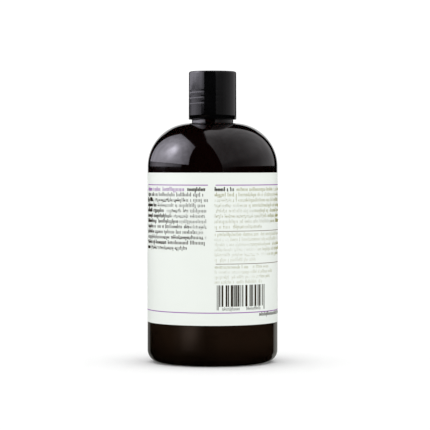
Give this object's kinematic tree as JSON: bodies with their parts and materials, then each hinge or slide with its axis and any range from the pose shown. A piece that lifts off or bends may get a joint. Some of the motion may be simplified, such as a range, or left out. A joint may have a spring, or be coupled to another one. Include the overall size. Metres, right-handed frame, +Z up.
{
  "type": "shampoo bottle",
  "caption": "Round-shouldered bottle with a wrap-round label, filled with liquid, closed by a screw-on disc-top cap whose disc tips to pour.",
  "frame": {"origin": "middle of the annular face that the bottle stands on", "axes": "+Z up the bottle's axis, +Y towards the side that the closure pours from, -Y towards the label's back panel, +X along the disc's pivot pins"},
  "size_m": [0.0748, 0.0748, 0.1666],
  "materials": {
    "amber_bottle": "glossy, very dark brown",
    "label_film": "semi-gloss printed film",
    "shampoo_liquid": "clear liquid",
    "liner_foam": "closed-cell foam",
    "black_closure": "glossy moulded"
  },
  "bodies": {
    "bottle": {"bottle": "amber_bottle", "label": "label_film", "shampoo": "shampoo_liquid"},
    "liner": {"cap_liner": "liner_foam"},
    "cap": {"cap_shell": "black_closure"},
    "disc": {"disc_top": "black_closure"}
  },
  "joints": [
    {"name": "cap_rise", "type": "slide", "parent": "bottle", "child": "liner", "axis": [0, 0, 1], "range_m": [0, 0.0048]},
    {"name": "cap_screw", "type": "hinge", "parent": "liner", "child": "cap", "pos_m": [0, 0, 0.1549], "axis": [0, 0, 1], "range_deg": [0, 540]},
    {"name": "disc_tilt", "type": "hinge", "parent": "cap", "child": "disc", "pos_m": [0, 0, 0.1641], "axis": [1, 0, 0], "range_deg": [0, 38]}
  ],
  "couplings": [
    {"joint": "cap_rise", "follows": "cap_screw", "m_per_rad": 0.00050532}
  ]
}
